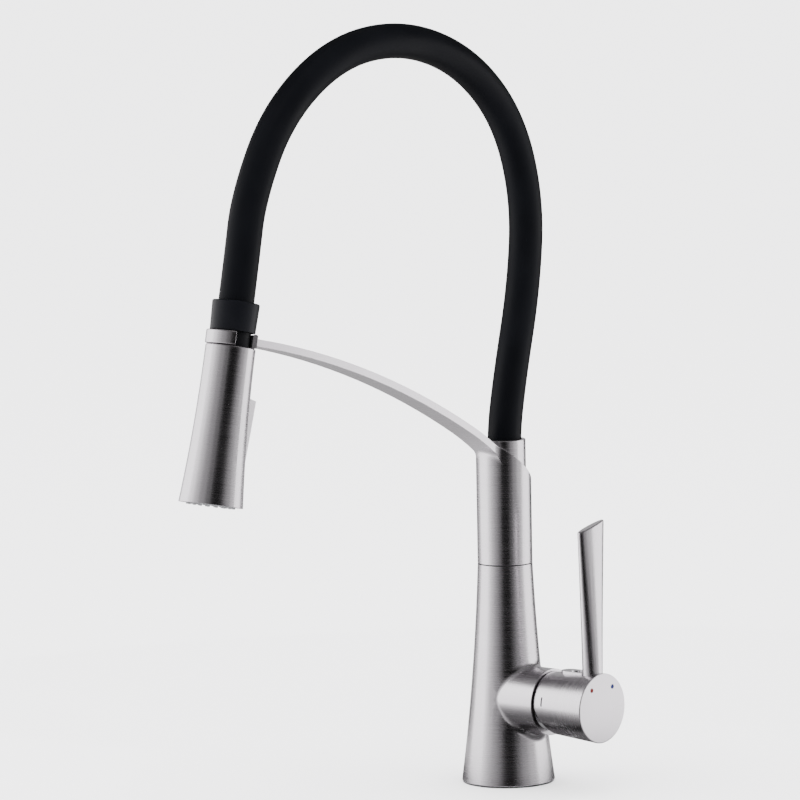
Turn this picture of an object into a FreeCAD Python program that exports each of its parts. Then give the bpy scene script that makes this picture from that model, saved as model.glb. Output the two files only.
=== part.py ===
import FreeCAD, Part

import math
import os
from types import SimpleNamespace

import Sketcher
from FreeCAD import Placement, Rotation, Vector

# A single-lever kitchen mixer tap with a sprung, rubber-sleeved hose arch and a spray head
# that is held in an open ring at the end of a curved arm.
# Millimetres, +Z up, origin at the centre of the underside of the deck gasket.
# The spout reaches along -Y and the lever housing points along +X.

# ---------------------------------------------------------------- driving dimensions

SIZES = {
    # base and side housing
    "gasket_thick": 1.2,
    "base_radius": 28.9,
    "waist_radius": 21.4,
    "waist_height": 68.6,
    "seam_radius": 17.05,
    "base_top": 136.6,
    "foot_bore": 24.7,
    "body_bore": 15.2,
    "swivel_bore": 13.0,
    "swivel_floor": 99.0,
    "handle_height": 53.1,
    "housing_radius": 20.6,
    "housing_blend": 5.0,
    "housing_end": 37.4,
    "housing_bore": 17.6,
    # deck fixing and supply
    "insert_thick": 10.0,
    "stud_spacing": 25.0,
    "stud_hole_radius": 2.5,
    "inlet_spacing": 15.2,
    "inlet_radius": 4.5,
    "inlet_depth": 12.0,
    "valve_radius": 14.6,
    "valve_bottom": 22.0,
    "valve_top": 88.0,
    "seat_face": 4.0,
    # swivel
    "spigot_radius": 11.5,
    "bush_bore": 11.55,
    "sleeve_bottom": 137.2,
    "sleeve_bore": 14.0,
    "tube_radius": 13.9,
    "tube_bore": 12.3,
    "tube_lip_bore": 11.6,
    "tube_top": 214.1,
    # arm
    "arm_width": 17.5,
    "arm_thick": 4.3,
    "arm_back_slope": 41.0,
    "arm_near_slope": 29.5,
    "arm_near_radius": 190.0,
    "arm_far_radius": 620.0,
    "cut_start_y": -5.0,
    "cut_start_z": 203.0,
    # hose
    "hose_radius": 10.5,
    "hose_bore": 8.4,
    "coil_bore": 6.8,
    "core_radius": 6.5,
    "core_bore": 4.0,
    # dock ring and hose end
    "head_tilt": 12.0,
    "head_y": -236.2,
    "head_z": 290.3,
    "ring_radius": 15.2,
    "ring_bore": 12.4,
    "liner_bore": 11.4,
    "ring_height": 8.0,
    "ring_opening": 71.0,
    "neck_length": 8.9,
    "neck_radius": 11.0,
    "nipple_radius": 6.2,
    "collar_length": 17.2,
    "collar_low_radius": 13.4,
    "collar_top_radius": 14.0,
    # spray head
    "head_length": 92.5,
    "head_top_radius": 14.65,
    "head_mid_radius": 15.7,
    "head_low_radius": 18.85,
    "head_wall": 1.4,
    "button_width": 15.0,
    "button_top": 28.0,
    "button_length": 39.0,
    "button_pin_depth": 12.0,
    # handle
    "pivot_x": 29.0,
    "cap_rear": 38.2,
    "cap_face": 77.4,
    "cap_rear_radius": 19.05,
    "cap_face_radius": 21.5,
    "relief_angle": 22.0,
    "lever_x": 69.9,
    "lever_root_radius": 6.1,
    "lever_tip_depth": 4.3,
    "lever_tip_width": 11.7,
    "lever_low": 72.0,
    "lever_high": 172.0,
    "lever_cut": 165.0,
    "stem_width": 7.0,
    "screw_x": 57.0,
}

# The hose's route in the spout's plane, as (y, z), from its ferrule to the collar.
HOSE_ROUTE = [
    (0, 173), (0, 212), (6, 247), (22, 309), (26, 362), (9, 413), (-31, 449),
    (-86, 465), (-144, 457), (-193, 423), (-219, 375), (-225.4, 341.2), (-232.9, 306),
]

doc = FreeCAD.newDocument("kitchen_mixer")
sheet = doc.addObject("Spreadsheet::Sheet", "Dims")


class Size:
    """A number together with the spreadsheet expression that it comes from."""

    def __init__(self, number, text):
        self.number = float(number)
        self.text = text

    def _joined(self, other, sign, number):
        return Size(number, f"({self.text} {sign} {as_size(other).text})")

    def __add__(self, other):
        return self._joined(other, "+", self.number + as_size(other).number)

    def __sub__(self, other):
        return self._joined(other, "-", self.number - as_size(other).number)

    def __mul__(self, other):
        return self._joined(other, "*", self.number * as_size(other).number)

    def __truediv__(self, other):
        return self._joined(other, "/", self.number / as_size(other).number)

    def __neg__(self):
        return Size(-self.number, f"(0 - {self.text})")

    def __radd__(self, other):
        return as_size(other) + self

    def __rsub__(self, other):
        return as_size(other) - self


def as_size(value):
    return value if isinstance(value, Size) else Size(value, repr(float(value)))


def fill_sheet():
    """Write every driving dimension to the sheet and return them as named sizes."""
    for row, (alias, value) in enumerate(SIZES.items(), start=1):
        sheet.set(f"A{row}", alias)
        sheet.set(f"B{row}", str(value))
        sheet.setAlias(f"B{row}", alias)
    doc.recompute()
    return SimpleNamespace(**{name: Size(value, f"Dims.{name}") for name, value in SIZES.items()})


D = fill_sheet()
NODES = []

# ---------------------------------------------------------------- helpers


def bind(thing, name, value):
    """Give a property its number, and bind it to the sheet where it comes from there."""
    value = as_size(value)
    if "Dims." in value.text:
        thing.setExpression(name, value.text)
    elif name.startswith("Placement.Base."):
        base = thing.Placement.Base
        setattr(base, name[-1], value.number)
        thing.Placement = Placement(base, thing.Placement.Rotation)
    else:
        setattr(thing, name, value.number)


def move(thing, at, rotation=None):
    """Place a primitive: its rotation first, then each coordinate of its base."""
    thing.Placement = Placement(Vector(0, 0, 0), rotation or Rotation())
    for letter, value in zip("xyz", at):
        bind(thing, "Placement.Base." + letter, value)
    return thing


def cylinder(name, radius, length, at=(0, 0, 0), rotation=None, sweep=360):
    rod = doc.addObject("Part::Cylinder", name)
    bind(rod, "Radius", radius)
    bind(rod, "Height", length)
    bind(rod, "Angle", sweep)
    return move(rod, at, rotation)


def box(name, size, at, rotation=None):
    block = doc.addObject("Part::Box", name)
    for side, value in zip(("Length", "Width", "Height"), size):
        bind(block, side, value)
    return move(block, at, rotation)


def torus(name, middle, section, at):
    ring = doc.addObject("Part::Torus", name)
    bind(ring, "Radius1", middle)
    bind(ring, "Radius2", section)
    return move(ring, at)


def fuse(name, *pieces):
    joined = doc.addObject("Part::MultiFuse", name)
    joined.Shapes = list(pieces)
    return joined


def cut(name, base, *tools):
    """Take the tools out of the base."""
    result = doc.addObject("Part::Cut", name)
    result.Base = base
    result.Tool = tools[0] if len(tools) == 1 else fuse(name + "_tools", *tools)
    return result


def group(name, *pieces):
    """Several loose solids that share one node."""
    together = doc.addObject("Part::Compound", name)
    together.Links = list(pieces)
    return together


def origin_plane(body, role):
    return next(item for item in body.Origin.OriginFeatures if item.Role == role)


def fix_point(sketch, line, end, x, y):
    """Hold one end of a sketch element at (x, y) from the sketch's origin."""
    for kind, value in (("DistanceX", x), ("DistanceY", y)):
        value = as_size(value)
        number = sketch.addConstraint(Sketcher.Constraint(kind, -1, 1, line, end, value.number))
        if "Dims." in value.text:
            sketch.setExpression(f"Constraints[{number}]", value.text)


def close_outline(sketch, outline):
    """Draw a closed outline. An item is a point (x, y), or a point followed by the
    middle of the arc that leaves it, as (x, y, middle_x, middle_y)."""
    def vec(x, y):
        return Vector(as_size(x).number, as_size(y).number, 0)

    corners = [item[:2] for item in outline]
    for index, item in enumerate(outline):
        start = vec(*item[:2])
        stop = vec(*corners[(index + 1) % len(corners)])
        if len(item) == 2:
            line = sketch.addGeometry(Part.LineSegment(start, stop), False)
            first, last = 1, 2
        else:
            arc = Part.Arc(start, vec(*item[2:]), stop)
            line = sketch.addGeometry(arc, False)
            drawn = sketch.getPoint(line, 1)
            first, last = (1, 2) if drawn.distanceToPoint(start) < 1e-6 else (2, 1)
            middle = sketch.addGeometry(Part.Point(vec(*item[2:])), True)
            fix_point(sketch, middle, 1, *item[2:])
            sketch.addConstraint(Sketcher.Constraint("PointOnObject", middle, 1, line))
        fix_point(sketch, line, first, *item[:2])
        fix_point(sketch, line, last, *corners[(index + 1) % len(corners)])


def new_sketch(body, name, role):
    sketch = body.newObject("Sketcher::SketchObject", name)
    sketch.AttachmentSupport = (origin_plane(body, role), "")
    sketch.MapMode = "FlatFace"
    return sketch


def turned(name, outline):
    """A body turned round its own Z axis from half an outline of (radius, height)."""
    body = doc.addObject("PartDesign::Body", name)
    sketch = new_sketch(body, name + "_outline", "XZ_Plane")
    close_outline(sketch, outline)
    turn = body.newObject("PartDesign::Revolution", name + "_turn")
    turn.Profile = sketch
    turn.ReferenceAxis = (sketch, ["V_Axis"])
    turn.Angle = 360
    return body


def tube(name, bore, radius, low, high):
    return turned(name, [(bore, low), (radius, low), (radius, high), (bore, high)])


def rounded(name, base, radius, wanted):
    """Round the edges of base for which wanted(edge) is true."""
    doc.recompute()
    result = doc.addObject("Part::Fillet", name)
    result.Base = base
    radius = as_size(radius).number
    picked = [i for i, edge in enumerate(base.Shape.Edges, start=1) if wanted(edge)]
    if not picked:
        raise RuntimeError(f"{name}: no edge to round")
    result.Edges = [(i, radius, radius) for i in picked]
    return result


def middle_of(edge):
    return edge.valueAt((edge.FirstParameter + edge.LastParameter) / 2)


def circle_at(edge, radius, height):
    """True for a full circle of this radius at this height round the Z axis."""
    curve = edge.Curve
    if not isinstance(curve, Part.Circle):
        return False
    same_radius = abs(curve.Radius - as_size(radius).number) < 1e-3
    return same_radius and abs(curve.Center.z - as_size(height).number) < 1e-3


def node(label, thing, frame=None):
    """Register a finished sub-part under its own label, in one of the named frames."""
    doc.recompute()
    if frame is not None:
        thing.Placement = frame.multiply(thing.Placement)
    thing.Label = label
    NODES.append(thing)
    return thing


# Local frames. A head piece is drawn with its axis along -Z and its top at z = 0; a handle
# piece is drawn with its axis along +Z, which becomes the housing's +X.
ALONG_X = Rotation(Vector(0, 1, 0), 90)
ALONG_Y = Rotation(Vector(1, 0, 0), -90)
HEAD_FRAME = Placement(Vector(0, D.head_y.number, D.head_z.number),
                       Rotation(Vector(1, 0, 0), -D.head_tilt.number))
SIDE_FRAME = Placement(Vector(0, 0, D.handle_height.number), ALONG_X)

# ---------------------------------------------------------------- base and valve


def base_gasket():
    node("base_gasket", tube("gasket", D.foot_bore - 2.2, D.base_radius - 0.5, 0, D.gasket_thick))


def base_body():
    low = D.gasket_thick
    shell = turned("base_outer", [
        (0, low),
        (D.base_radius, low, D.waist_radius, D.waist_height),
        (D.seam_radius, D.base_top),
        (0, D.base_top),
    ])
    # The turned surface's seam goes to the back, so that it doesn't cross the housing.
    shell.Placement = Placement(Vector(0, 0, 0), Rotation(Vector(0, 0, 1), 180))
    housing = cylinder("housing_outer", D.housing_radius, D.housing_end,
                       (0, 0, D.handle_height), ALONG_X)
    outside = fuse("base_outside", shell, housing)
    reach = D.housing_radius.number

    def joint(edge):
        if isinstance(edge.Curve, Part.Line):
            return False
        point = middle_of(edge)
        across = math.hypot(point.y, point.z - D.handle_height.number)
        return 8 < point.x < D.housing_end.number - 6 and abs(across - reach) < 0.05

    blended = rounded("base_blended", outside, D.housing_blend, joint)
    cavity = turned("base_cavity", [
        (0, 0), (D.foot_bore, 0), (D.foot_bore, D.gasket_thick + D.insert_thick),
        (D.body_bore, 34), (D.body_bore, D.swivel_floor), (D.swivel_bore, D.swivel_floor),
        (D.swivel_bore, D.base_top + 1), (0, D.base_top + 1),
    ])
    bore = cylinder("cartridge_bore", D.housing_bore, D.housing_end,
                    (D.seat_face, 0, D.handle_height), ALONG_X)
    node("base_body", cut("base_hollowed", blended, cavity, bore))


def mounting_insert():
    low = D.gasket_thick
    disc = cylinder("insert_disc", D.foot_bore - 0.1, D.insert_thick, (0, 0, low))
    half = D.inlet_spacing / 2
    radius = 6.9
    slot = [cylinder(f"insert_slot_{side}", radius, 14, (0, sign * half, 0))
            for side, sign in (("a", Size(-1, "-1")), ("b", Size(1, "1")))]
    slot.append(box("insert_slot_middle", (2 * radius, D.inlet_spacing, 14),
                    (-radius, -half, 0)))
    studs = [cylinder(f"insert_stud_{side}", D.stud_hole_radius, 14,
                      (sign * D.stud_spacing / 2, 0, 0))
             for side, sign in (("a", Size(-1, "-1")), ("b", Size(1, "1")))]
    node("mounting_insert", cut("insert_cut", disc, *slot, *studs))


PORTS = (("hot", -6.5, -4.5), ("cold", 6.5, -4.5), ("mixed", 0.0, 7.5))
PORT_RADIUS = 3.0


def waterway_manifold():
    """Two inlets rise to the cartridge seat, and the mixed water leaves at the top."""
    column = turned("valve_column", [
        (0, D.valve_bottom), (D.valve_radius, D.valve_bottom),
        (D.valve_radius, D.valve_top), (0, D.valve_top)])
    tools = [cylinder("valve_pocket", D.housing_bore + 0.1, 20,
                      (D.seat_face, 0, D.handle_height), ALONG_X)]
    rise_x = -0.8
    rise_radius = 2.8
    for name, y, dz in PORTS[:2]:
        sign = -1 if y < 0 else 1
        inlet_y = Size(sign, repr(sign)) * D.inlet_spacing / 2
        tools.append(cylinder(name + "_thread", D.inlet_radius, D.inlet_depth,
                              (0, inlet_y, D.valve_bottom)))
        tools.append(cylinder(name + "_rise", rise_radius, D.handle_height + dz - 30,
                              (rise_x, y, 30)))
        tools.append(cylinder(name + "_turn", PORT_RADIUS, 8,
                              (rise_x - 2, y, D.handle_height + dz), ALONG_X))
    outlet_x = -4.2
    tools.append(cylinder("mixed_turn", PORT_RADIUS, 12,
                          (outlet_x - 2, 0, D.handle_height + PORTS[2][2]), ALONG_X))
    tools.append(cylinder("mixed_rise", 3.3, 24,
                          (outlet_x, 0, D.handle_height + PORTS[2][2])))
    tools.append(cylinder("mixed_chamber", 8, 10, (0, 0, D.valve_top - 10)))
    node("waterway_manifold", cut("valve_cut", column, *tools))


def transfer_tube():
    low = D.valve_top - 4
    node("transfer_tube", turned("transfer", [
        (4.2, low), (7.9, low), (7.9, D.valve_top), (6.0, D.valve_top + 0.1),
        (6.0, 108), (4.2, 108)]))


def swivel_bushes():
    outer = D.swivel_bore - 0.02
    node("swivel_bush_lower", tube("bush_low", D.bush_bore, outer, 101, 107))
    node("swivel_bush_upper", tube("bush_high", D.bush_bore, outer, 128, 134))
    node("swivel_washer", tube("washer", D.spigot_radius + 0.3, D.seam_radius - 0.6,
                               D.base_top, D.sleeve_bottom - 0.05))


# ---------------------------------------------------------------- cartridge


def port_holes(name, radius, low, length):
    """Three holes along the housing axis, at the cartridge's ports."""
    return [cylinder(f"{name}_{port}", radius, length, (low, y, D.handle_height + dz), ALONG_X)
            for port, y, dz in PORTS]


def cartridge_fixed_parts():
    rings = [cut(f"seal_{port}",
                 cylinder(f"seal_{port}_outer", 4.6, 1, (D.seat_face, y, D.handle_height + dz),
                          ALONG_X),
                 cylinder(f"seal_{port}_inner", PORT_RADIUS, 1,
                          (D.seat_face, y, D.handle_height + dz), ALONG_X))
             for port, y, dz in PORTS]
    node("cartridge_seals", group("seal_group", *rings))
    base = cylinder("cart_base_disc", D.housing_bore - 0.2, 3.5,
                    (D.seat_face + 1, 0, D.handle_height), ALONG_X)
    node("cartridge_base", cut("cart_base_cut", base, *port_holes("base_port", 3.0, 4, 6)))
    disc = cylinder("fixed_disc_blank", 14.0, 3.5, (8.5, 0, D.handle_height), ALONG_X)
    node("fixed_disc", cut("fixed_disc_cut", disc, *port_holes("disc_port", 2.6, 8, 5)))
    outer = D.housing_bore - 0.2
    node("cartridge_shell", turned("cart_shell", [
        (14.6, 8.5), (outer, 8.5), (outer, 34), (12.2, 34), (12.2, 32), (14.6, 32)]),
        SIDE_FRAME)
    thread = D.housing_bore - 0.05
    node("cartridge_nut", turned("cart_nut", [
        (12.8, 34.05), (thread, 34.05), (thread, D.housing_end - 0.6),
        (15.2, D.housing_end + 0.4), (15.2, 39.6), (14.8, 40), (12.8, 40)]), SIDE_FRAME)


def cartridge_moving_parts():
    disc = turned("moving_disc_blank", [(0, 12.03), (10.4, 12.03), (10.4, 15.4), (0, 15.4)])
    hollow = cylinder("moving_disc_hollow", 7.6, 1.8, (0, 0, 11.9))
    node("moving_disc", cut("moving_disc_cut", disc, hollow), SIDE_FRAME)
    carrier = turned("carrier_blank", [(0, 15.4), (10.4, 15.4), (10.4, 19.2), (0, 19.2)])
    socket = cylinder("carrier_socket", 3.4, 3.4, (0, 0, 16))
    node("disc_carrier", cut("carrier_cut", carrier, socket), SIDE_FRAME)
    rotor = turned("rotor_blank", [
        (0, 19.6), (14.4, 19.6), (14.4, 31.8), (12.0, 31.8), (12.0, 36.4), (0, 36.4)])
    slot = box("rotor_slot", (20, 7.6, 18), (-10, -3.8, 19))
    pin_hole = cylinder("rotor_pin_hole", 1.5, 24, (0, -12, D.pivot_x), ALONG_Y)
    node("cartridge_rotor", cut("rotor_cut", rotor, slot, pin_hole), SIDE_FRAME)
    node("stem_pin", cylinder("pin", 1.49, 23, (D.pivot_x, -11.5, D.handle_height), ALONG_Y))


def cartridge_stem():
    """A square stem on a cross pin, with a ball at its inner end that shifts the disc."""
    half = D.stem_width / 2
    bar = box("stem_bar", (30, D.stem_width, D.stem_width),
              (31.5, -half, D.handle_height - half))
    hub = cylinder("stem_hub", 4.4, D.stem_width, (D.pivot_x, -half, D.handle_height), ALONG_Y)
    arm = cylinder("stem_arm", 2.2, 10, (18, 0, D.handle_height), ALONG_X)
    ball = doc.addObject("Part::Sphere", "stem_ball")
    ball.Radius = 3.0
    move(ball, (17.6, 0, D.handle_height))
    trim = box("stem_ball_trim", (2.4, 8, 8), (14.2, -4, D.handle_height - 4))
    hole = cylinder("stem_pin_hole", 1.54, 12, (D.pivot_x, -6, D.handle_height), ALONG_Y)
    solid = fuse("stem_solid", bar, hub, arm, ball)
    node("cartridge_stem", cut("stem_cut", solid, trim, hole))


# ---------------------------------------------------------------- spout


def arm_curve(offset=0.0, past=0.0):
    """The arm's top line in the spout's plane, moved down by offset, as the points
    (back end, start of the near arc, near arc's middle, far arc's start, its middle, end).
    It ends inside the dock ring, and runs on by past."""
    def down(angle):
        return Vector(0, -math.sin(angle), -math.cos(angle))

    back = math.radians(D.arm_back_slope.number)
    near = math.radians(D.arm_near_slope.number)
    start = Vector(0, D.cut_start_y.number, D.cut_start_z.number)
    near_radius = D.arm_near_radius.number
    far_radius = D.arm_far_radius.number
    near_centre = start + down(back) * near_radius
    far_start = near_centre - down(near) * near_radius
    far_centre = far_start + down(near) * far_radius
    end_y = D.head_y.number + 8 - past
    far = math.asin((end_y - far_centre.y) / far_radius)

    def on(centre, radius, angle):
        return centre - down(angle) * (radius - offset)

    behind = Vector(0, math.cos(back), -math.sin(back)) * 60
    return [
        on(near_centre, near_radius, back) + behind,
        on(near_centre, near_radius, back),
        on(near_centre, near_radius, (back + near) / 2),
        on(near_centre, near_radius, near),
        on(far_centre, far_radius, (near + far) / 2),
        on(far_centre, far_radius, far),
    ]


def band(points, closing, half_width):
    """A solid as wide as twice half_width, between an arm curve and a closing line."""
    edges = [
        Part.LineSegment(points[0], points[1]).toShape(),
        Part.Arc(points[1], points[2], points[3]).toShape(),
        Part.Arc(points[3], points[4], points[5]).toShape(),
    ]
    corners = [points[5], *closing, points[0]]
    edges += [Part.LineSegment(a, b).toShape() for a, b in zip(corners, corners[1:])]
    face = Part.Face(Part.Wire(edges))
    face.translate(Vector(-half_width, 0, 0))
    return face.extrude(Vector(2 * half_width, 0, 0))


def spout_body():
    """Sleeve and arm in one casting: the arm's plate is blended into the sleeve, and both
    are then cut by the sweep of the arm's top line."""
    half = D.arm_width.number / 2
    ceiling = 330.0
    under = arm_curve(D.arm_thick.number)
    plate = band(under, [Vector(0, under[5].y, ceiling), Vector(0, under[0].y, ceiling)], half)
    keep = Part.makeBox(60, 250, 400, Vector(-30, -250, 0))
    plate = plate.common(keep)
    bottom = D.sleeve_bottom.number
    sleeve = Part.makeCylinder(D.seam_radius.number, ceiling - bottom, Vector(0, 0, bottom))
    joined = sleeve.fuse(plate).removeSplitter()
    radius = D.seam_radius.number

    def on_joint(edge):
        point = middle_of(edge)
        ends = [vertex.Point for vertex in edge.Vertexes]
        around = all(abs(math.hypot(p.x, p.y) - radius) < 0.01 for p in [point, *ends])
        return around and point.y < -5 and bottom + 1 < point.z < ceiling - 1

    joined = joined.makeFillet(7.0, [edge for edge in joined.Edges if on_joint(edge)])
    top = arm_curve(past=12.0)
    above = band(top, [Vector(0, top[5].y, ceiling + 9), Vector(0, top[0].y, ceiling + 9)], 30)
    joined = joined.cut(above)
    shape = joined.cut(Part.makeCylinder(D.sleeve_bore.number, 200, Vector(0, 0, bottom - 1)))
    ring = Part.makeCylinder(D.ring_radius.number + 0.05, 40, Vector(0, 0, -25))
    ring.Placement = HEAD_FRAME
    shape = shape.cut(ring)
    piece = doc.addObject("Part::Feature", "sleeve_and_arm")
    piece.Shape = shape
    node("spout_body", piece)


def swivel_parts():
    node("swivel_spigot", turned("spigot", [
        (6.1, 92), (10.2, 92), (D.spigot_radius, 93), (D.spigot_radius, 96.8), (9.9, 96.8),
        (9.9, 98.3), (D.spigot_radius, 98.3), (D.spigot_radius, 110.6), (10.3, 110.6),
        (10.3, 113.4), (D.spigot_radius, 113.4), (D.spigot_radius, 119.6), (10.3, 119.6),
        (10.3, 122.4), (D.spigot_radius, 122.4), (D.spigot_radius, D.sleeve_bottom),
        (D.sleeve_bore - 0.05, D.sleeve_bottom), (D.sleeve_bore - 0.05, 149), (5, 149),
        (5, 112), (6.1, 112)]))
    middle, section = 11.65, 1.3
    node("swivel_o_rings", group("o_rings", torus("o_ring_low", middle, section, (0, 0, 112)),
                                 torus("o_ring_high", middle, section, (0, 0, 121))))
    node("swivel_circlip", tube("circlip", 10.0, 13.8, 97, 98.1))


def outlet_tube():
    top = D.tube_top
    blank = turned("outlet", [
        (D.tube_bore, 149.05), (D.tube_radius, 149.05), (D.tube_radius, top),
        (D.tube_lip_bore, top), (D.tube_lip_bore, 204), (D.tube_bore, 202)])
    node("outlet_tube", rounded("outlet_rounded", blank, 0.7,
                                lambda edge: circle_at(edge, D.tube_radius, top)))


def hose_ferrule():
    node("hose_ferrule", turned("ferrule", [
        (2.6, 149.1), (12.2, 149.1), (12.2, 158), (D.hose_radius, 160), (D.hose_radius, 172.9),
        (3.9, 172.9), (3.9, 192), (2.6, 192)]))


def route_wire(points):
    """Straight runs joined by tangent arcs, each as large as its two runs allow."""
    corners = [Vector(0, y, z) for y, z in points]
    edges, here, radii = [], corners[0], []
    for before, corner, after in zip(corners, corners[1:], corners[2:]):
        back = (before - corner).normalize()
        ahead = (after - corner).normalize()
        shorter = min((before - corner).Length, (after - corner).Length)
        turn = math.pi - back.getAngle(ahead)
        reach = 0.45 * shorter
        radius = reach / math.tan(turn / 2)
        start, stop = corner + back * reach, corner + ahead * reach
        inward = (back + ahead).normalize()
        middle = corner + inward * (radius / math.cos(turn / 2) - radius)
        edges.append(Part.LineSegment(here, start).toShape())
        edges.append(Part.Arc(start, middle, stop).toShape())
        here = stop
        radii.append(radius)
    edges.append(Part.LineSegment(here, corners[-1]).toShape())
    return Part.Wire(edges), radii


def swept(wire, radius):
    """A round bar along the wire."""
    section = Part.Wire(Part.makeCircle(radius, wire.Edges[0].Vertexes[0].Point, Vector(0, 0, 1)))
    bar = wire.makePipeShell([section], True, False)
    ideal = math.pi * radius ** 2 * wire.Length
    if abs(bar.Volume / ideal - 1) > 0.01:
        raise RuntimeError("the hose's volume doesn't match its section times its length")
    return bar


def hose():
    wire, radii = route_wire(HOSE_ROUTE)
    print("hose length", round(wire.Length, 1), "bend radii", [round(r) for r in radii])
    layers = (("hose_sheath", D.hose_radius, D.hose_bore),
              ("support_coil", D.hose_bore - 0.1, D.coil_bore),
              ("inner_hose", D.core_radius, D.core_bore))
    for label, radius, bore in layers:
        piece = doc.addObject("Part::Feature", label + "_tube")
        piece.Shape = swept(wire, radius.number).cut(swept(wire, bore.number))
        node(label, piece)


def dock():
    """An open ring: the gap faces +X, where the neck of the hose end comes out sideways."""
    half = D.ring_height / 2
    low = D.neck_length / 2 - half
    first = D.ring_opening.number / 2
    turn = Rotation(Vector(0, 0, 1), first)
    sweep = 360 - D.ring_opening
    blank = cut("ring_blank", cylinder("ring_outer", D.ring_radius, D.ring_height, (0, 0, low),
                                       turn, sweep),
                cylinder("ring_inner", D.ring_bore, 20, (0, 0, -5)))
    ring = rounded("ring_rounded", blank, 0.9, lambda edge: edge.Length > 2 * D.ring_height.number
                   and middle_of(edge).Length > D.ring_bore.number + 2)
    node("dock_ring", ring, HEAD_FRAME)
    liner = cut("liner_blank", cylinder("liner_outer", D.ring_bore - 0.02, D.ring_height - 0.8,
                                        (0, 0, low + 0.4), turn, sweep),
                cylinder("liner_inner", D.liner_bore, 20, (0, 0, -5)))
    node("dock_liner", liner, HEAD_FRAME)


# ---------------------------------------------------------------- hose end and spray head


def hose_end():
    low = D.neck_length
    top = D.neck_length + D.collar_length
    collar = turned("collar", [
        (6.3, low), (D.collar_low_radius, low), (D.collar_top_radius, top),
        (D.hose_radius + 0.1, top), (D.hose_radius + 0.1, low + 4), (6.3, low + 4)])
    node("hose_collar", rounded("collar_rounded", collar, 1.0,
                                lambda edge: circle_at(edge, D.collar_top_radius, top)),
         HEAD_FRAME)
    node("dock_sleeve", tube("sleeve", D.nipple_radius + 0.05, D.neck_radius, 0.1, low),
         HEAD_FRAME)
    node("spray_nipple", turned("nipple", [
        (3.0, -22), (6.4, -22), (6.4, -18.6), (5.6, -18.6), (5.6, -16.4), (6.4, -16.4),
        (6.4, -12), (8.0, -12), (8.0, -9.2), (D.nipple_radius, -9.2),
        (D.nipple_radius, low + 4.1), (8.0, low + 4.1), (8.0, low + 6.6), (3.9, low + 6.6),
        (3.9, low + 22), (3.0, low + 22)]), HEAD_FRAME)
    node("nipple_o_ring", torus("nipple_ring", 6.85, 1.05, (0, 0, -17.5)), HEAD_FRAME)


def head_shell():
    """A thin sleeve that flares towards the nozzle, with a window for the button."""
    bottom = -D.head_length
    middle = -D.head_length / 2
    wall = D.head_wall
    shell = turned("head_sleeve", [
        (8.6, 0),
        (D.head_top_radius, 0, D.head_mid_radius, middle),
        (D.head_low_radius, bottom),
        (D.head_low_radius - wall, bottom, D.head_mid_radius - wall, middle),
        (D.head_top_radius - wall, -1.6),
        (8.6, -1.6),
    ])
    smooth = rounded("head_rounded", shell, 0.8,
                     lambda edge: circle_at(edge, D.head_top_radius, 0))
    gap = 0.35
    window = box("head_window", (D.button_width + 2 * gap, 12, D.button_length + 2 * gap),
                 (-D.button_width / 2 - gap, 10, -D.button_top - D.button_length - gap))
    node("head_shell", cut("head_cut", smooth, window), HEAD_FRAME)


def head_inside():
    node("swivel_nut", tube("head_nut", 6.4, 12.9, -8.9, -1.8), HEAD_FRAME)
    body = turned("core_blank", [
        (8.15, -9.1), (13.0, -9.1), (13.0, -70), (15.6, -72), (15.6, -80), (0, -80),
        (0, -66), (4.6, -66), (4.6, -46), (3.0, -46), (3.0, -40), (6.0, -40), (6.0, -26),
        (8.15, -26)])
    pocket = box("core_pocket", (D.button_width + 1.2, 10, D.button_length + 4),
                 (-D.button_width / 2 - 0.6, 7.3, -D.button_top - D.button_length - 2))
    pin_hole = cylinder("core_pin_hole", 1.2, 40,
                        (-20, D.button_pin_depth - 2.4, -D.button_top - D.button_length / 2),
                        ALONG_X)
    jets = [cylinder(f"core_jet_{number}", 1.6, 20,
                     (10 * math.cos(angle), 10 * math.sin(angle), -85))
            for number, angle in enumerate(math.radians(60 * k + 30) for k in range(6))]
    middle_jet = cylinder("core_jet_middle", 3.0, 20, (0, 0, -84))
    node("head_core", cut("core_cut", body, pocket, pin_hole, *jets, middle_jet), HEAD_FRAME)
    node("check_valve_seat", turned("check_seat", [
        (3.2, -29), (5.95, -29), (5.95, -26.5), (4.6, -26.5)]), HEAD_FRAME)
    node("check_poppet", turned("poppet", [
        (0, -28.2), (4.0, -29.4), (4.9, -30.4), (4.9, -31.4), (1.6, -31.8), (1.6, -36),
        (0, -36)]), HEAD_FRAME)
    check_spring()


def check_spring():
    coil = doc.addObject("Part::Helix", "check_coil")
    coil.Pitch = 1.7
    coil.Height = 6.8
    coil.Radius = 3.0
    section = doc.addObject("Part::Circle", "check_wire")
    section.Radius = 0.4
    section.Placement = Placement(Vector(3.0, 0, 0), Rotation(Vector(1, 0, 0), 90))
    spring = doc.addObject("Part::Sweep", "check_sweep")
    spring.Sections = [section]
    spring.Spine = (coil, [])
    spring.Solid = True
    spring.Frenet = True
    spring.Placement = Placement(Vector(0, 0, -39.4), Rotation())
    node("check_spring", spring, HEAD_FRAME)


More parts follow.
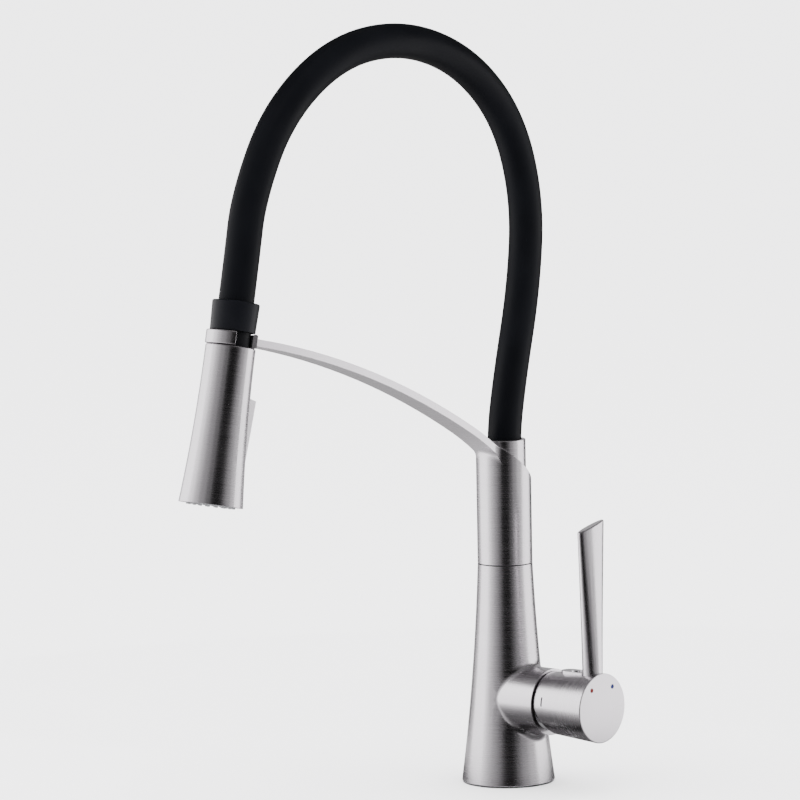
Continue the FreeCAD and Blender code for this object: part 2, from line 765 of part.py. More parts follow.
def button():
    """A rocker that lies on the side of the head and stands out at its upper end."""
    top = -D.button_top.number
    bottom = top - D.button_length.number
    pin_y = D.button_pin_depth.number - 2.4
    pin_z = (top + bottom) / 2
    outline = [(11.2, top), (19.4, top - 1.5), (18.2, pin_z), (16.6, bottom), (12.6, bottom),
               (pin_y + 2.6, pin_z - 4), (pin_y - 1.6, pin_z - 2.6), (pin_y - 1.6, pin_z + 2.6),
               (pin_y + 2.6, pin_z + 4), (13.0, top - 3), (11.2, top - 3)]
    body = doc.addObject("PartDesign::Body", "rocker")
    sketch = new_sketch(body, "rocker_side", "YZ_Plane")
    close_outline(sketch, outline)
    pad = body.newObject("PartDesign::Pad", "rocker_pad")
    pad.Profile = sketch
    pad.setExpression("Length", D.button_width.text)
    pad.Midplane = True
    hole = cylinder("rocker_hole", 1.25, 40, (-20, pin_y, pin_z), ALONG_X)
    bored = cut("rocker_bored", body, hole)
    outer = rounded("rocker_rounded", bored, 0.8,
                    lambda edge: middle_of(edge).y > 15.5
                    and not isinstance(edge.Curve, Part.Circle))
    node("rocker_button", outer, HEAD_FRAME)
    node("button_pin", cylinder("rocker_pin", 1.19, 22, (-11, pin_y, pin_z), ALONG_X),
         HEAD_FRAME)
    node("diverter_spool", turned("spool", [
        (0, -48), (4.55, -48), (4.55, -51), (2.6, -51), (2.6, -58), (4.55, -58),
        (4.55, -62), (0, -62)]), HEAD_FRAME)


def spray_face():
    rim = D.head_low_radius - D.head_wall
    low = -D.head_length + 0.3
    plate = turned("face_blank", [
        (0, -84), (rim - 0.95, -84), (rim - 0.3, low + 0.8), (rim - 0.8, low), (0, low)])
    tools = [cylinder("face_aerator_hole", 6.3, 12, (0, 0, -94))]
    pips = []
    for ring, (count, radius) in enumerate(((12, 9.4), (18, 13.6))):
        for step in range(count):
            angle = math.radians(360 * step / count)
            spot = (radius * math.cos(angle), radius * math.sin(angle))
            tools.append(cylinder(f"face_hole_{ring}_{step}", 0.85, 10, (*spot, -94)))
            pips.append(cut(f"pip_{ring}_{step}",
                            cylinder(f"pip_body_{ring}_{step}", 0.82, 9.2, (*spot, -93.4)),
                            cylinder(f"pip_bore_{ring}_{step}", 0.35, 12, (*spot, -94))))
    node("spray_face", cut("face_cut", plate, *tools), HEAD_FRAME)
    node("spray_nozzles", group("pips", *pips), HEAD_FRAME)
    holes = [cylinder(f"aerator_hole_{k}", 0.7, 4,
                      (3.6 * math.cos(math.radians(45 * k)), 3.6 * math.sin(math.radians(45 * k)),
                       -94)) for k in range(8)]
    holes.append(cylinder("aerator_hole_middle", 0.9, 4, (0, 0, -94)))
    cup = turned("aerator_cup", [
        (5.4, -84.2), (6.2, -84.2), (6.2, low - 0.2), (0, low - 0.2), (0, low + 1), (5.4, low + 1)])
    node("aerator_insert", cut("aerator_cut", cup, *holes), HEAD_FRAME)
    node("aerator_screen", cylinder("screen", 5.35, 1.2, (0, 0, -88)), HEAD_FRAME)
    node("face_seal", torus("face_o_ring", 14.4, 0.9, (0, 0, -82)), HEAD_FRAME)


# ---------------------------------------------------------------- handle


def cap_radius_at(x):
    share = (x - D.cap_rear) / (D.cap_face - D.cap_rear)
    return D.cap_rear_radius + (D.cap_face_radius - D.cap_rear_radius) * share


def handle_cap():
    """A hollow drum, cut back at its lower rear so that it can tip with the lever."""
    wall = 2.05
    inner_end = D.cap_face - 2.5
    drum = turned("cap_drum", [
        (D.cap_rear_radius - wall, D.cap_rear), (D.cap_rear_radius, D.cap_rear),
        (D.cap_face_radius, D.cap_face), (0, D.cap_face), (0, inner_end),
        (D.cap_face_radius - wall - 0.3, inner_end)])
    edged = rounded("cap_rounded", drum, 0.6,
                    lambda edge: circle_at(edge, D.cap_face_radius, D.cap_face))
    edged.Placement = SIDE_FRAME
    pad_end = cylinder("cap_pad_end", 5.2, 6.3, (51.7, 0, D.handle_height + 15))
    pad = box("cap_pad", (14, 10.4, 6.3), (51.7, -5.2, D.handle_height + 15))
    outside = fuse("cap_outside", edged, pad_end, pad)
    inside = cylinder("cap_inside", D.cap_rear_radius - wall, 24,
                      (D.cap_rear - 1, 0, D.handle_height), ALONG_X)
    turn = Rotation(Vector(0, 1, 0), -D.relief_angle.number)
    relief = box("cap_relief", (30, 60, 40), (D.cap_rear, -30, D.handle_height), turn)
    down = turn.multVec(Vector(-30, 0, -40))
    move(relief, (D.cap_rear + down.x, -30, D.handle_height + down.z), turn)
    top = D.handle_height + 25
    screw_hole = cylinder("cap_screw_hole", 2.7, 20, (D.screw_x, 0, top - 12))
    head_hole = cylinder("cap_head_hole", 3.55, 6, (D.screw_x, 0, D.handle_height + 19.3))
    stud_hole = cylinder("cap_stud_hole", 3.05, 20, (D.lever_x, 0, top - 12))
    dots = [cylinder(f"cap_dot_{side}", 1.37, 2, (D.cap_face - 0.5, y, D.handle_height + 12.3),
                     ALONG_X) for side, y in DOTS]
    mark = box("cap_mark", MARK_SIZE, MARK_AT)
    node("handle_cap", cut("cap_cut", outside, inside, relief, screw_hole, head_hole,
                           stud_hole, *dots, mark))


DOTS = (("hot", -9.7), ("cold", 9.7))
MARK_SIZE = (0.9, 3.0, 5.4)
MARK_AT = (44.2, -20.9, D.handle_height + 0.6)


def handle_inlays():
    for side, y in DOTS:
        node(f"{side}_dot", cylinder(f"{side}_enamel", 1.35, 0.52,
                                     (D.cap_face - 0.5, y, D.handle_height + 12.3), ALONG_X))
    blank = box("mark_blank", MARK_SIZE, MARK_AT)
    skin = turned("mark_skin", [
        (0, D.cap_rear), (D.cap_rear_radius + 0.04, D.cap_rear),
        (D.cap_face_radius + 0.04, D.cap_face), (0, D.cap_face)])
    skin.Placement = SIDE_FRAME
    mark = doc.addObject("Part::Common", "mark_common")
    mark.Base = blank
    mark.Tool = skin
    node("index_mark", mark)


def handle_hub():
    hub = cylinder("hub_blank", 9.0, D.cap_face - 2.55 - 45.5, (45.5, 0, D.handle_height), ALONG_X)
    socket = D.stem_width + 0.1
    square = box("hub_socket", (18, socket, socket),
                 (44, -socket / 2, D.handle_height - socket / 2))
    screw = cylinder("hub_screw_hole", 2.5, 12, (D.screw_x, 0, D.handle_height))
    stud = cylinder("hub_stud_hole", 3.0, 12, (D.lever_x, 0, D.handle_height + 3))
    node("handle_hub", cut("hub_cut", hub, square, screw, stud))
    shaft = cylinder("grub_shaft", 2.48, 17.2, (D.screw_x, 0, D.handle_height + 3.56))
    head = cylinder("grub_head", 3.4, 2.4, (D.screw_x, 0, D.handle_height + 19.35))
    key = doc.addObject("Part::Prism", "grub_key")
    key.Polygon = 6
    key.Circumradius = 1.5
    key.Height = 4
    move(key, (D.screw_x, 0, D.handle_height + 20.0))
    node("handle_screw", cut("grub_cut", fuse("grub_solid", shaft, head), key))


def handle_lever():
    """An upright bar: round at its root, oval at its tip, with a slanted end."""
    body = doc.addObject("PartDesign::Body", "lever")
    sections = []
    for number, share in enumerate((0, 0.5, 1)):
        height = D.lever_low + (D.lever_high - D.lever_low) * share
        depth = D.lever_root_radius + (D.lever_tip_depth - D.lever_root_radius) * share
        width = D.lever_root_radius + 0.2 + (D.lever_tip_width - D.lever_root_radius - 0.2) * share
        sketch = new_sketch(body, f"lever_section_{number}", "XY_Plane")
        bind(sketch, "AttachmentOffset.Base.z", height)
        oval = Part.Ellipse(Vector(0, width.number, 0), Vector(depth.number, 0, 0), Vector())
        sketch.addGeometry(oval, False)
        sketch.exposeInternalGeometry(0)
        sections.append(sketch)
    loft = body.newObject("PartDesign::AdditiveLoft", "lever_loft")
    loft.Profile = sections[0]
    loft.Sections = sections[1:]
    move(body, (D.lever_x, 0, 0))
    saddle = turned("lever_saddle", [
        (0, D.cap_rear), (D.cap_rear_radius + 0.02, D.cap_rear),
        (D.cap_face_radius + 0.02, D.cap_face + 0.2), (0, D.cap_face + 0.2)])
    saddle.Placement = SIDE_FRAME
    slant = Rotation(Vector(0.78, -0.62, 0), 19)
    end = box("lever_end", (60, 60, 40), (0, 0, 0), slant)
    corner = slant.multVec(Vector(-30, -30, 0))
    move(end, (D.lever_x + corner.x, corner.y, D.lever_cut + corner.z), slant)
    bore = cylinder("lever_bore", 3.05, 14, (D.lever_x, 0, 72))
    blank = cut("lever_cut_blank", body, saddle, end, bore)
    top = D.lever_cut.number
    node("handle_lever", rounded("lever_rounded", blank, 0.9,
                                 lambda edge: middle_of(edge).z > top - 8 and edge.Length > 20))
    node("lever_stud", cylinder("stud", 2.98, 28.4, (D.lever_x, 0, D.handle_height + 3.6)))


# ---------------------------------------------------------------- build and write

base_gasket()
base_body()
mounting_insert()
waterway_manifold()
transfer_tube()
swivel_bushes()
cartridge_fixed_parts()
cartridge_moving_parts()
cartridge_stem()
spout_body()
swivel_parts()
outlet_tube()
hose_ferrule()
hose()
dock()
hose_end()
head_shell()
head_inside()
button()
spray_face()
handle_cap()
handle_inlays()
handle_hub()
handle_lever()

doc.recompute()
failed = [thing.Label for thing in doc.Objects
          if "Invalid" in thing.State or "Error" in thing.State]
failed += [piece.Label for piece in NODES
           if piece.Shape.isNull() or not piece.Shape.isValid() or not piece.Shape.Solids]
if failed:
    raise RuntimeError(f"these failed: {failed}")

os.makedirs("parts", exist_ok=True)
for piece in NODES:
    piece.Shape.exportStep(f"parts/{piece.Label}.step")
    print(piece.Label, len(piece.Shape.Solids), round(piece.Shape.Volume, 1))
print(len(NODES), "nodes")
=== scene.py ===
import math

import bpy
from mathutils import Matrix, Vector


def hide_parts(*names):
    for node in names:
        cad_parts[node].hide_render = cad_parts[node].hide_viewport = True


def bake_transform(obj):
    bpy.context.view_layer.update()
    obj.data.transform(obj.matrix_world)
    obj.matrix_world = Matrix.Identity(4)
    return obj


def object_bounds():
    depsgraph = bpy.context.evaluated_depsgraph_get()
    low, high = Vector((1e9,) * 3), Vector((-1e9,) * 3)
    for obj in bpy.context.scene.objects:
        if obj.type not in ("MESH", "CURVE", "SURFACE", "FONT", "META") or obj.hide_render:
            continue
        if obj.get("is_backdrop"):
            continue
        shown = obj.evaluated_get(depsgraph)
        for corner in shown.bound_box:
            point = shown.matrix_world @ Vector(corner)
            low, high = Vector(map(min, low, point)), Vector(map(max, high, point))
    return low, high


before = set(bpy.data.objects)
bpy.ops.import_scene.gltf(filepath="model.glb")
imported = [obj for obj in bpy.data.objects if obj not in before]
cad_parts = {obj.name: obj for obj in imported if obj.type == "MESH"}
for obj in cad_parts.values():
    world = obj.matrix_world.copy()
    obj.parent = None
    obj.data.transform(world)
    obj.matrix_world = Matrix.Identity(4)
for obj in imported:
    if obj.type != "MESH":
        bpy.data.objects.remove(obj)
cad_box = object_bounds()

MM = 0.001


def plain(value):
    """Any nested vectors as plain lists of numbers."""
    if hasattr(value, "__len__"):
        return [plain(item) for item in value]
    return float(value)


def mesh_object(name, verts, faces, material, smooth=False):
    mesh = bpy.data.meshes.new(name)
    mesh.from_pydata(verts, [], faces)
    mesh.update()
    for polygon in mesh.polygons:
        polygon.use_smooth = smooth
    obj = bpy.data.objects.new(name, mesh)
    bpy.context.scene.collection.objects.link(obj)
    obj.data.materials.append(material)
    return obj


# ---------------------------------------------------------------- camera, floor and lights

AZIMUTH, ELEVATION, ROLL = 42.86, 5.94, -1.07   # degrees
DISTANCE = 2.8
FOCAL_LENGTH, SENSOR_WIDTH = 203.95, 36         # millimetres
AIM_RIGHT, AIM_UP = -0.06328, 0.23929           # the point looked at, from the foot's centre
CLIP_END = 200
FLOOR_HALF = 60
LIGHT_TARGET = Vector((0, -0.1, 0.22))


def axes_towards_viewer(azimuth, elevation):
    """Right, up and back directions of a camera that looks at the object from there."""
    a, e = math.radians(azimuth), math.radians(elevation)
    right = Vector((math.cos(a), math.sin(a), 0))
    back = Vector((math.sin(a) * math.cos(e), -math.cos(a) * math.cos(e), math.sin(e)))
    return right, back.cross(right), back


def add_camera():
    right, up, back = axes_towards_viewer(AZIMUTH, ELEVATION)
    target = right * AIM_RIGHT + Vector((0, 0, AIM_UP))
    turned = Matrix.Rotation(math.radians(ROLL), 3, back)
    right, up = turned @ right, turned @ up
    data = bpy.data.cameras.new("camera")
    data.sensor_width = SENSOR_WIDTH
    data.lens = FOCAL_LENGTH
    data.clip_end = CLIP_END
    camera = bpy.data.objects.new("camera", data)
    bpy.context.scene.collection.objects.link(camera)
    pose = Matrix((right, up, back)).transposed().to_4x4()
    pose.translation = target + back * DISTANCE
    camera.matrix_world = pose
    bpy.context.scene.camera = camera


def add_world():
    world = bpy.data.worlds.new("studio")
    bpy.context.scene.world = world
    world.use_nodes = True
    background = world.node_tree.nodes["Background"]
    background.inputs["Color"].default_value = (0.97, 0.965, 0.98, 1)
    background.inputs["Strength"].default_value = 4.5


def flat_material(name, colour, roughness):
    material = bpy.data.materials.new(name)
    material.use_nodes = True
    shader = material.node_tree.nodes["Principled BSDF"]
    shader.inputs["Base Color"].default_value = (*colour, 1)
    shader.inputs["Roughness"].default_value = roughness
    return material


def add_floor():
    half = FLOOR_HALF
    corners = [(-half, -half, 0), (half, -half, 0), (half, half, 0), (-half, half, 0)]
    paper = flat_material("floor_paper", (0.9, 0.9, 0.9), 0.9)
    floor = mesh_object("floor", corners, [(0, 1, 2, 3)], paper)
    floor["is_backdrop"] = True


def add_light(name, at, size, power):
    data = bpy.data.lights.new(name, "AREA")
    data.shape = "RECTANGLE"
    data.size, data.size_y = size
    data.energy = power
    lamp = bpy.data.objects.new(name, data)
    bpy.context.scene.collection.objects.link(lamp)
    lamp.location = at
    aim = LIGHT_TARGET - Vector(at)
    lamp.rotation_euler = aim.to_track_quat("-Z", "Y").to_euler()


# ---------------------------------------------------------------- panels for the metal to mirror

PANEL_STRIP = 4                                 # degrees of arc to one flat strip
PANEL_COLOUR = (1.0, 0.985, 1.0, 1)
PANEL_FLOOR = 0.0006                            # just above the floor, below the foot's metal
FOOT_EDGE, FLOOR_EDGE = 0.0295, 0.24            # the dim part of the floor lies between these
WALL_RADIUS, WALL_TOP = 0.62, 0.56
WALL_OUTLINE = [(FLOOR_EDGE, PANEL_FLOOR), (WALL_RADIUS, PANEL_FLOOR), (WALL_RADIUS, WALL_TOP)]
TOP_OUTLINE = [(WALL_RADIUS, WALL_TOP), (0.42, 1.1), (0.0, 1.25)]
FLAG_FROM, FLAG_TO = -15, 19                    # the dark panel in front, in degrees
WALL_PANELS = [                                 # name, from and to in degrees, brightness
    ("rim_left", -152, -140, 0.15), ("side_left", -140, -120, 0.9),
    ("key_left", -120, -72, 3.4), ("fade_left_high", -72, -58, 1.7),
    ("fade_left", -58, -44, 0.85), ("fade_near", -44, -29, 0.45),
    ("fade_front", -29, FLAG_FROM, 0.2), ("flag_front", FLAG_FROM, FLAG_TO, 0.005),
    ("lift_front", FLAG_TO, 33, 0.12), ("lift_right", 33, 54, 0.4),
    ("side_right", 54, 78, 0.85), ("key_right", 78, 126, 3.2),
    ("flag_right", 126, 150, 0.03), ("back", 150, 208, 0.6),
]
FLOOR_RINGS = [                                 # inner and outer radius, brightness
    (FOOT_EDGE, 0.07, 0.16), (0.07, 0.10, 0.3), (0.10, 0.13, 0.5),
    (0.13, 0.17, 0.8), (0.17, FLOOR_EDGE, 1.2),
]


def add_reflector(name, from_deg, to_deg, outline, glow):
    """A studio panel that only reflections see, bent round the object. Angles are taken from
    the camera's direction, positive towards its right, and outline is (radius, height)."""
    toward = math.radians(AZIMUTH - 90)
    steps = max(2, int(abs(to_deg - from_deg) / PANEL_STRIP))
    verts, faces = [], []
    for step in range(steps + 1):
        angle = toward + math.radians(from_deg + (to_deg - from_deg) * step / steps)
        for radius, height in outline:
            verts.append((radius * math.cos(angle), radius * math.sin(angle), height))
    rows = len(outline)
    for step in range(steps):
        for row in range(rows - 1):
            a = step * rows + row
            faces.append((a, a + rows, a + rows + 1, a + 1))
    material = flat_material(name, (0.0, 0.0, 0.0), 1.0)
    shader = material.node_tree.nodes["Principled BSDF"]
    shader.inputs["Specular IOR Level"].default_value = 0.0
    shader.inputs["Emission Color"].default_value = PANEL_COLOUR
    shader.inputs["Emission Strength"].default_value = glow
    panel = mesh_object(name, verts, faces, material)
    panel.visible_camera = False
    panel.visible_diffuse = False
    panel.visible_shadow = False
    panel.visible_transmission = False
    panel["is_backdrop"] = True


def add_tent():
    """Bright and dark panels, from the camera's left round to its right, under a dim top. The
    floor inside them is dim at the foot and brighter outwards, with a dark strip in front."""
    for name, low, high, glow in WALL_PANELS:
        add_reflector(name, low, high, WALL_OUTLINE, glow)
    add_reflector("flag_top", -180, 180, TOP_OUTLINE, 0.16)

    def add_floor_panel(name, low, high, inner, outer, glow):
        outline = [(inner, PANEL_FLOOR), (outer, PANEL_FLOOR)]
        add_reflector(name, low, high, outline, glow)

    for index, (inner, outer, glow) in enumerate(FLOOR_RINGS):
        add_floor_panel(f"floor_ring_{index}", FLAG_TO, 360 + FLAG_FROM, inner, outer, glow)
    add_floor_panel("floor_front", FLAG_FROM, FLAG_TO, FOOT_EDGE, FLOOR_EDGE, 0.02)


# ---------------------------------------------------------------- materials

NOISE_LOW, NOISE_HIGH = 0.3, 0.7                # most of a noise texture lies between these


class Paint:
    """A small builder for one node material."""

    def __init__(self, name, colour, metallic=0.0, roughness=0.5, specular=0.5):
        self.material = bpy.data.materials.new(name)
        self.material.use_nodes = True
        self.tree = self.material.node_tree
        self.shader = self.tree.nodes["Principled BSDF"]
        self.shader.inputs["Base Color"].default_value = (*colour, 1)
        self.shader.inputs["Metallic"].default_value = metallic
        self.shader.inputs["Roughness"].default_value = roughness
        self.shader.inputs["Specular IOR Level"].default_value = specular
        self.colour = colour
        self.normal = None

    def node(self, kind, **settings):
        made = self.tree.nodes.new(kind)
        for key, value in settings.items():
            setattr(made, key, value)
        return made

    def join(self, out, into):
        self.tree.links.new(out, into)

    def noise(self, stretch, detail, turn=(0, 0, 0)):
        """Noise in the object's own metres, with so many features per metre each way."""
        where = self.node("ShaderNodeTexCoord")
        mapping = self.node("ShaderNodeMapping", vector_type="TEXTURE")
        mapping.inputs["Rotation"].default_value = turn
        mapping.inputs["Scale"].default_value = tuple(1 / each for each in stretch)
        noise = self.node("ShaderNodeTexNoise")
        noise.inputs["Scale"].default_value = 1.0
        noise.inputs["Detail"].default_value = detail
        self.join(where.outputs["Object"], mapping.inputs["Vector"])
        self.join(mapping.outputs["Vector"], noise.inputs["Vector"])
        return noise.outputs["Fac"]

    def ranged(self, value, low, high):
        """A noise spread out from low to high."""
        spread = self.node("ShaderNodeMapRange")
        for key, number in (("From Min", NOISE_LOW), ("From Max", NOISE_HIGH),
                            ("To Min", low), ("To Max", high)):
            spread.inputs[key].default_value = number
        self.join(value, spread.inputs["Value"])
        return spread.outputs["Result"]

    def tint(self, value, low, high):
        """Colour between two shades of the base colour."""
        ramp = self.node("ShaderNodeMix", data_type="RGBA")
        ramp.inputs["A"].default_value = (*(c * low for c in self.colour), 1)
        ramp.inputs["B"].default_value = (*(c * high for c in self.colour), 1)
        self.join(self.ranged(value, 0, 1), ramp.inputs["Factor"])
        self.join(ramp.outputs["Result"], self.shader.inputs["Base Color"])

    def gloss(self, value, low, high):
        self.join(self.ranged(value, low, high), self.shader.inputs["Roughness"])

    def add(self, one, two):
        total = self.node("ShaderNodeMath", operation="ADD")
        self.join(one, total.inputs[0])
        self.join(two, total.inputs[1])
        return total.outputs[0]

    def soft_edges(self, radius):
        """Edges rounded in the shading only."""
        bevel = self.node("ShaderNodeBevel", samples=4)
        bevel.inputs["Radius"].default_value = radius
        self.normal = bevel.outputs["Normal"]
        self.join(self.normal, self.shader.inputs["Normal"])

    def bump(self, value, strength, depth):
        lift = self.node("ShaderNodeBump")
        lift.inputs["Strength"].default_value = strength
        lift.inputs["Distance"].default_value = depth
        self.join(value, lift.inputs["Height"])
        if self.normal is not None:
            self.join(self.normal, lift.inputs["Normal"])
        self.normal = lift.outputs["Normal"]
        self.join(self.normal, self.shader.inputs["Normal"])


NICKEL_COLOUR, NICKEL_ROUGHNESS = (0.60, 0.575, 0.60), 0.25


def brushed(name, stretch, turn=(0, 0, 0)):
    """Satin nickel: fine drawn lines along one direction, and a faint cloudiness."""
    paint = Paint(name, NICKEL_COLOUR, metallic=1.0, roughness=NICKEL_ROUGHNESS)
    paint.soft_edges(0.0005)
    lines = paint.noise(stretch, 4.0, turn)
    clouds = paint.noise((26, 26, 26), 2.0)
    paint.tint(lines, 0.95, 1.035)
    paint.gloss(paint.add(paint.ranged(lines, 0.0, 0.55), paint.ranged(clouds, 0.0, 0.45)),
                NICKEL_ROUGHNESS - 0.015, NICKEL_ROUGHNESS + 0.03)
    paint.bump(lines, 0.012, 0.00001)
    return paint.material


def plastic(name, colour, roughness, grain=2600, depth=0.00003, specular=0.5):
    """Moulded plastic, rubber, ceramic or enamel: a fine grain, and slightly uneven gloss."""
    paint = Paint(name, colour, roughness=roughness, specular=specular)
    paint.soft_edges(0.0004)
    grains = paint.noise((grain, grain, grain), 2.0)
    clouds = paint.noise((40, 40, 40), 3.0)
    paint.tint(clouds, 0.88, 1.12)
    paint.gloss(clouds, roughness - 0.06, roughness + 0.08)
    paint.bump(grains, 0.25, depth)
    return paint.material


def machined(name, colour, roughness=0.28):
    """Turned metal with fine rings round the upright axis."""
    paint = Paint(name, colour, metallic=1.0, roughness=roughness)
    paint.soft_edges(0.0003)
    rings = paint.noise((60, 60, 2600), 2.0)
    paint.tint(rings, 0.9, 1.05)
    paint.gloss(rings, roughness - 0.06, roughness + 0.1)
    paint.bump(rings, 0.12, 0.00002)
    return paint.material


def hose_rubber():
    """Silicone: near black with a faint blue cast, satin, with a fine grain."""
    paint = Paint("hose_silicone", (0.0012, 0.0015, 0.0026), roughness=0.5, specular=0.06)
    grains = paint.noise((1500, 1500, 1500), 3.0)
    clouds = paint.noise((30, 30, 30), 3.0)
    paint.tint(clouds, 0.85, 1.2)
    paint.gloss(clouds, 0.46, 0.58)
    paint.bump(grains, 0.2, 0.00003)
    return paint.material


# Which way the brushing runs, as features per metre along x, y and z.
ROUND_Z = (26, 26, 2200)
ROUND_X = (2200, 26, 26)
LENGTHWAYS = (1500, 1500, 14)
HEAD_TILT = math.radians(12)


def node_materials():
    """What every CAD node is made of, by node name."""
    nickel = brushed("nickel_upright", ROUND_Z)
    nickel_side = brushed("nickel_sideways", ROUND_X)
    nickel_head = brushed("nickel_head", ROUND_Z, turn=(-HEAD_TILT, 0, 0))
    nickel_lever = brushed("nickel_lever", LENGTHWAYS)
    brass = machined("brass", (0.72, 0.53, 0.25))
    steel = machined("steel", (0.66, 0.66, 0.67), 0.22)
    chrome = machined("chrome", (0.84, 0.84, 0.86), 0.09)
    black_rubber = plastic("black_rubber", (0.016, 0.016, 0.018), 0.6, specular=0.35)
    black_nylon = plastic("black_nylon", (0.003, 0.003, 0.004), 0.5, specular=0.12)
    collar = plastic("collar_black", (0.0020, 0.0023, 0.0038), 0.42, grain=1800, specular=0.11)
    neck = plastic("neck_black", (0.0012, 0.0014, 0.0022), 0.5, specular=0.08)
    grey = plastic("grey_plastic", (0.17, 0.175, 0.185), 0.38)
    white = plastic("white_plastic", (0.72, 0.72, 0.69), 0.4)
    ceramic = plastic("ceramic", (0.85, 0.84, 0.80), 0.16)
    pips = plastic("nozzle_rubber", (0.16, 0.16, 0.165), 0.55, specular=0.3)
    red = plastic("red_enamel", (0.07, 0.004, 0.004), 0.4, depth=0.00001, specular=0.1)
    blue = plastic("blue_enamel", (0.003, 0.006, 0.055), 0.4, depth=0.00001, specular=0.1)
    return {
        "base_gasket": black_rubber, "base_body": nickel, "mounting_insert": brass,
        "waterway_manifold": brass, "transfer_tube": brass, "swivel_bush_lower": white,
        "swivel_bush_upper": white, "swivel_washer": black_nylon,
        "cartridge_seals": black_rubber, "cartridge_base": white, "fixed_disc": ceramic,
        "cartridge_shell": white, "cartridge_nut": chrome, "spout_body": nickel,
        "swivel_spigot": brass, "swivel_o_rings": black_rubber, "swivel_circlip": steel,
        "outlet_tube": nickel, "hose_ferrule": brass, "dock_ring": nickel_head,
        "dock_liner": black_nylon, "hose_collar": collar, "dock_sleeve": neck,
        "spray_nipple": brass, "nipple_o_ring": black_rubber, "head_shell": nickel_head,
        "swivel_nut": grey, "head_core": grey, "check_valve_seat": white,
        "check_poppet": black_rubber, "check_spring": steel, "rocker_button": nickel_head,
        "button_pin": steel, "diverter_spool": white, "spray_face": grey,
        "spray_nozzles": pips, "aerator_insert": grey, "aerator_screen": steel,
        "face_seal": black_rubber, "cartridge_rotor": grey, "stem_pin": steel,
        "moving_disc": ceramic, "disc_carrier": white, "cartridge_stem": brass,
        "handle_hub": brass, "handle_cap": nickel_side, "handle_lever": nickel_lever,
        "lever_stud": steel, "handle_screw": chrome, "hot_dot": red, "cold_dot": blue,
        "index_mark": black_nylon,
    }


def dress_nodes():
    for name, material in node_materials().items():
        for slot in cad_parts[name].material_slots:
            slot.material = material


# ---------------------------------------------------------------- the hose

# The hose's centre line from the outlet tube to the collar, as y and z in millimetres.
HOSE_ROUTE = [
    (0, 173), (0, 212), (6, 247), (22, 309), (26, 362), (9, 413), (-31, 449),
    (-86, 465), (-144, 457), (-193, 423), (-219, 375), (-225.4, 341.2), (-232.9, 306),
]
ROUTE_DIVISIONS = 14                            # points to each of the route's own points
RING_STEP = 0.003
SLEEVE_OUTER, SLEEVE_BORE, SLEEVE_CHAMFER = 0.0105, 0.0084, 0.0005
HOSE_OUTER, HOSE_BORE = 0.0065, 0.004
SPRING_RADIUS, WIRE_RADIUS, SPRING_PITCH = 0.0075, 0.0007, 0.0026
SLEEVE_SIDES, HOSE_SIDES, WIRE_SIDES, STEPS_PER_TURN = 56, 24, 6, 14


def hose_line():
    """Points along the hose's smooth centre line, in metres."""
    curve = bpy.data.curves.new("hose_route", "CURVE")
    curve.dimensions = "3D"
    spline = curve.splines.new("NURBS")
    spline.points.add(len(HOSE_ROUTE) - 1)
    for point, (y, z) in zip(spline.points, HOSE_ROUTE):
        point.co = (0, y * MM, z * MM, 1)
    spline.order_u = 3
    spline.use_endpoint_u = True
    spline.resolution_u = ROUTE_DIVISIONS
    holder = bpy.data.objects.new("hose_route", curve)
    mesh = bpy.data.meshes.new_from_object(holder)
    points = [vertex.co.copy() for vertex in mesh.vertices]
    bpy.data.objects.remove(holder)
    bpy.data.meshes.remove(mesh)
    return points


def along(points, length_step):
    """Points at even steps along the line and at its end, and the tangent at each."""
    shortest_last_step = length_step * 0.3
    out, carried = [points[0].copy()], 0.0
    for a, b in zip(points, points[1:]):
        run = (b - a).length
        reach = length_step - carried
        while reach <= run:
            out.append(a + (b - a) * (reach / run))
            reach += length_step
        carried = run - (reach - length_step)
    if (out[-1] - points[-1]).length > shortest_last_step:
        out.append(points[-1].copy())
    tangents = []
    for index in range(len(out)):
        before, after = out[max(0, index - 1)], out[min(len(out) - 1, index + 1)]
        tangents.append((after - before).normalized())
    return out, tangents


def spokes(tangent, count):
    """So many directions, evenly spaced round the line."""
    side = Vector((1, 0, 0))
    up = tangent.cross(side).normalized()
    angles = [2 * math.pi * k / count for k in range(count)]
    return [side * math.cos(angle) + up * math.sin(angle) for angle in angles]


def pipe(name, line, radii, material, sides):
    """A body of revolution bent along the line. radii(at_end) gives a ring's outer radius and
    its bore's; the two walls are joined at both ends."""
    points, tangents = line
    verts, faces = [], []
    last_ring = len(points) - 1
    for wall in (0, 1):
        for index, (point, tangent) in enumerate(zip(points, tangents)):
            radius = radii(index in (0, last_ring))[wall]
            verts.extend(point + spoke * radius for spoke in spokes(tangent, sides))
    inner = len(points) * sides
    for ring in range(last_ring):
        for k in range(sides):
            a, b = ring * sides + k, ring * sides + (k + 1) % sides
            faces.append((a, a + sides, b + sides, b))
            faces.append((inner + a, inner + b, inner + b + sides, inner + a + sides))
    last = last_ring * sides
    for k in range(sides):
        n = (k + 1) % sides
        faces.append((k, n, inner + n, inner + k))
        faces.append((last + k, inner + last + k, inner + last + n, last + n))
    return mesh_object(name, verts, faces, material, smooth=True)


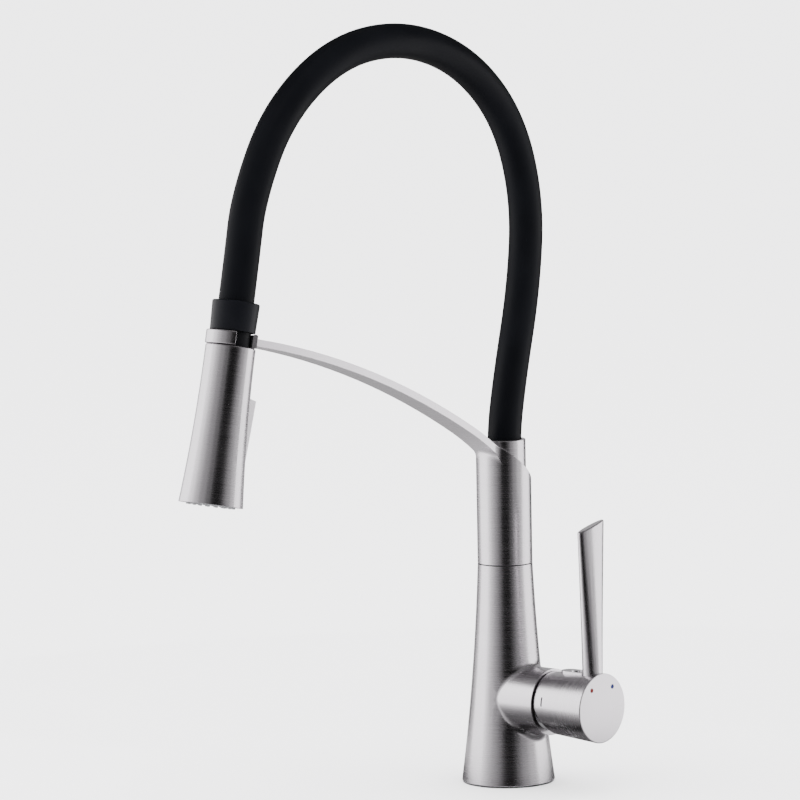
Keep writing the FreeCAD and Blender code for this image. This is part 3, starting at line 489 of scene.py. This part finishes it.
def coil(name, points, material):
    """A round wire wound round the hose's centre line, as an open spring."""
    points, tangents = along(points, SPRING_PITCH / STEPS_PER_TURN)
    verts, faces = [], []
    for index, (point, tangent) in enumerate(zip(points, tangents)):
        turn = 2 * math.pi * index / STEPS_PER_TURN
        side = Vector((1, 0, 0))
        out = side * math.cos(turn) + tangent.cross(side).normalized() * math.sin(turn)
        for k in range(WIRE_SIDES):
            angle = 2 * math.pi * k / WIRE_SIDES
            verts.append(point + out * (SPRING_RADIUS + WIRE_RADIUS * math.cos(angle))
                         + tangent * WIRE_RADIUS * math.sin(angle))
    last = (len(points) - 1) * WIRE_SIDES
    for start in range(0, last, WIRE_SIDES):
        for k in range(WIRE_SIDES):
            a, b = start + k, start + (k + 1) % WIRE_SIDES
            faces.append((a, b, b + WIRE_SIDES, a + WIRE_SIDES))
    faces.append(tuple(range(WIRE_SIDES)))
    faces.append(tuple(last + k for k in reversed(range(WIRE_SIDES))))
    return mesh_object(name, verts, faces, material, smooth=True)


def sleeve_radii(at_end):
    return SLEEVE_OUTER - SLEEVE_CHAMFER if at_end else SLEEVE_OUTER, SLEEVE_BORE


def hose_radii(at_end):
    return HOSE_OUTER, HOSE_BORE


def add_hose():
    """The rubber sleeve, the water hose in it and the spring that holds the arch."""
    points = hose_line()
    rings = along(points, RING_STEP)
    core = plastic("core_hose", (0.6, 0.6, 0.56), 0.45)
    spring_steel = machined("coil_steel", (0.6, 0.6, 0.6))
    pieces = [
        (pipe("hose_sleeve", rings, sleeve_radii, hose_rubber(), SLEEVE_SIDES),
         "hose_sheath", "hose_silicone"),
        (pipe("water_hose", rings, hose_radii, core, HOSE_SIDES), "inner_hose", "core_hose"),
        (coil("arch_spring", points, spring_steel), "support_coil", "spring_steel"),
    ]
    for piece, node, slot in pieces:
        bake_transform(piece)
        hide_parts(node)


# ---------------------------------------------------------------- making the scene

add_camera()
add_world()
add_floor()
add_tent()
add_light("key_left", (-1.5, -1.9, 1.5), (1.2, 1.8), 22)
add_light("fill_right", (2.1, 0.7, 1.1), (0.9, 1.8), 14)
add_light("top", (0.1, -0.2, 2.4), (1.4, 1.4), 16)
dress_nodes()
add_hose()

{"cad": plain(cad_box), "visual": plain(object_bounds())}
